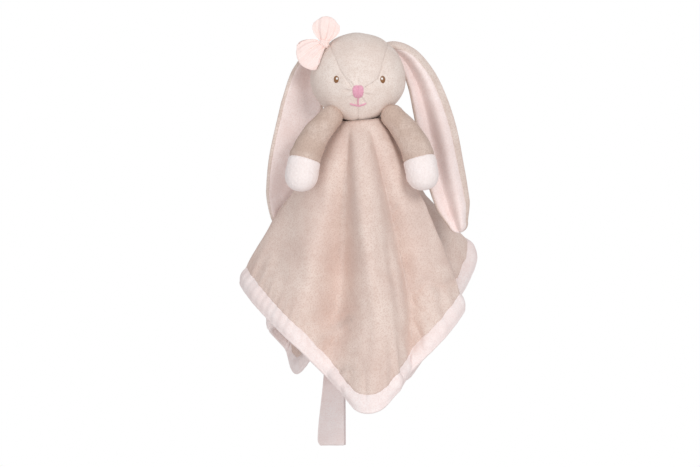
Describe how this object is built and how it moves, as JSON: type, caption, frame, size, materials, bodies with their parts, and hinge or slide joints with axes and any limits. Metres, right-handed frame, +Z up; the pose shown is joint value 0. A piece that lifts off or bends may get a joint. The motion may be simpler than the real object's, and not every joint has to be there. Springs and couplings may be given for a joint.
{
  "type": "comfort blanket soft toy",
  "caption": "Stuffed rabbit head with lop ears, two arms and a bow, sewn to the middle of a lined square blanket that hangs in folds, with a looped strap at its back corner.",
  "frame": {"origin": "top of the head, where the toy is held up", "axes": "+Z up, the face looks along -Y, +X is the viewer's right; left and right in the names are the viewer's"},
  "size_m": [0.212, 0.175, 0.377],
  "materials": {
    "velour": "short velour pile, matt",
    "arm_velour": "short velour pile, matt, a shade darker",
    "pink_velour": "short velour pile, matt",
    "paw_plush": "short plush pile, matt",
    "bow_cotton": "crinkled cotton, matt",
    "brown_thread": "embroidery thread, slight sheen",
    "white_thread": "embroidery thread, slight sheen",
    "rose_thread": "embroidery thread, satin stitch",
    "stuffing": "polyester fibre",
    "hook_tape": "woven hook-and-loop tape"
  },
  "bodies": {
    "toy": {"head_stuffing": "stuffing", "head_crown_panel": "velour", "head_cheek_left": "velour", "head_cheek_right": "velour", "head_back_panel": "velour", "eye_left": "brown_thread", "eye_glint_left": "white_thread", "eye_right": "brown_thread", "eye_glint_right": "white_thread", "nose_embroidery": "rose_thread", "mouth_embroidery": "rose_thread", "bow_loop_upper": "bow_cotton", "bow_loop_lower": "bow_cotton", "bow_knot": "bow_cotton", "blanket_face": "velour", "blanket_lining": "pink_velour", "neck_gather": "arm_velour"},
    "ear_left": {"ear_left_outer": "velour", "ear_left_lining": "pink_velour"},
    "ear_right": {"ear_right_outer": "velour", "ear_right_lining": "pink_velour"},
    "arm_left": {"arm_left_sleeve": "arm_velour", "arm_left_paw": "paw_plush", "arm_left_stuffing": "stuffing"},
    "arm_right": {"arm_right_sleeve": "arm_velour", "arm_right_paw": "paw_plush", "arm_right_stuffing": "stuffing"},
    "strap_loop": {"strap": "pink_velour", "strap_loop_patch": "hook_tape"},
    "tab": {"strap_tab": "pink_velour", "strap_hook_patch": "hook_tape"}
  },
  "joints": [
    {"name": "ear_left_lift", "type": "hinge", "parent": "toy", "child": "ear_left", "pos_m": [-0.0348, 0.0136, -0.015], "axis": [0, 1, 0], "range_deg": [0, 110]},
    {"name": "ear_right_lift", "type": "hinge", "parent": "toy", "child": "ear_right", "pos_m": [0.0316, 0.01088, -0.01275], "axis": [0, -1, 0], "range_deg": [0, 110]},
    {"name": "arm_left_lift", "type": "hinge", "parent": "toy", "child": "arm_left", "pos_m": [-0.02214, -0.01641, -0.07613], "axis": [0, 1, 0], "range_deg": [0, 80]},
    {"name": "arm_right_lift", "type": "hinge", "parent": "toy", "child": "arm_right", "pos_m": [0.02942, -0.01435, -0.07192], "axis": [0, -1, 0], "range_deg": [0, 80]},
    {"name": "strap_swing", "type": "hinge", "parent": "toy", "child": "strap_loop", "pos_m": [-0.02316, 0.1281, -0.28806], "axis": [1, 0, 0], "range_deg": [-60, 60]},
    {"name": "tab_open", "type": "hinge", "parent": "strap_loop", "child": "tab", "pos_m": [-0.02316, 0.13185, -0.36606], "axis": [-1, 0, 0], "range_deg": [0, 150]}
  ]
}
